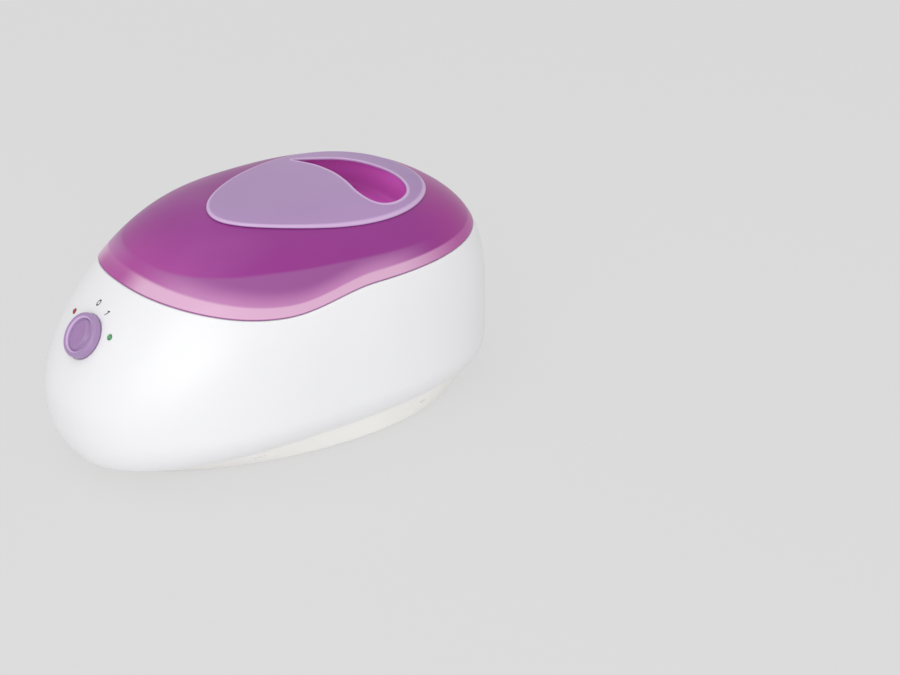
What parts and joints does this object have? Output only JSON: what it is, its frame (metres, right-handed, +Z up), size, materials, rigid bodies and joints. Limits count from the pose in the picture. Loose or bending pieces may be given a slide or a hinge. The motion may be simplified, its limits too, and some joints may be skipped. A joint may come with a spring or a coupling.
{
  "type": "paraffin bath",
  "caption": "Household paraffin wax bath: oval heated tank in a rounded shell, lift-off domed lid with an egg-shaped handle panel and finger well, rotary switch and pilot lamps.",
  "frame": {"origin": "on the surface the bath stands on, under the middle of its bounding box", "axes": "+X along the length from the switch end to the cord end, +Y to the left of that direction, +Z up"},
  "size_m": [0.38, 0.22, 0.1923],
  "materials": {
    "white_shell": "glossy moulded plastic",
    "white_pan": "satin moulded plastic",
    "magenta_lid": "glossy tinted plastic",
    "lilac_panel": "satin moulded plastic",
    "tank_aluminium": "drawn, satin",
    "zinc_steel": "zinc plated",
    "foot_rubber": "matte",
    "gasket_silicone": "matte",
    "red_lens": "clear tinted",
    "green_lens": "clear tinted",
    "black_plastic": "matte",
    "cream_plastic": "matte",
    "mineral_pad": "pressed fibre",
    "lead_blue": "smooth insulation",
    "lead_brown": "smooth insulation"
  },
  "bodies": {
    "housing": {"body_shell": "white_shell", "base_pan": "white_pan", "foot_front_left": "foot_rubber", "foot_front_right": "foot_rubber", "foot_rear_left": "foot_rubber", "foot_rear_right": "foot_rubber", "base_screw_front_left": "zinc_steel", "base_screw_front_right": "zinc_steel", "base_screw_rear_left": "zinc_steel", "base_screw_rear_right": "zinc_steel", "wax_tank": "tank_aluminium", "tank_gasket": "gasket_silicone", "heater_plate": "tank_aluminium", "heater_element": "zinc_steel", "insulation_pad": "mineral_pad", "heat_shield": "zinc_steel", "plate_nut_front": "zinc_steel", "plate_nut_rear": "zinc_steel", "shield_nut_front": "zinc_steel", "shield_nut_rear": "zinc_steel", "thermostat": "black_plastic", "thermostat_clip": "zinc_steel", "thermal_fuse": "zinc_steel", "fuse_clip": "zinc_steel", "switch_body": "cream_plastic", "switch_nut": "zinc_steel", "red_lamp_lens": "red_lens", "red_lamp_holder": "black_plastic", "green_lamp_lens": "green_lens", "green_lamp_holder": "black_plastic", "cord_gland": "white_shell", "gland_nut": "black_plastic", "terminal_block": "cream_plastic", "lead_switch_live": "lead_brown", "lead_switch_return": "lead_blue", "lead_heater_return": "lead_blue", "lead_heater_thermostat": "lead_brown", "lead_thermostat": "lead_brown", "lead_fuse": "lead_brown", "lead_red_lamp": "lead_blue", "lead_green_lamp": "lead_blue"},
    "lid": {"lid_shell": "magenta_lid", "lid_handle": "lilac_panel", "handle_screw_front": "zinc_steel", "handle_screw_left": "zinc_steel", "handle_screw_right": "zinc_steel"},
    "switch": {"control_knob": "lilac_panel", "switch_shaft": "zinc_steel"}
  },
  "joints": [
    {"name": "lid_lift", "type": "slide", "parent": "housing", "child": "lid", "axis": [0, 0, 1], "range_m": [0, 0.12]},
    {"name": "switch_turn", "type": "hinge", "parent": "housing", "child": "switch", "pos_m": [-0.16611, 0, 0.1128], "axis": [0.8092, 0, -0.5876], "range_deg": [0, 31]}
  ]
}
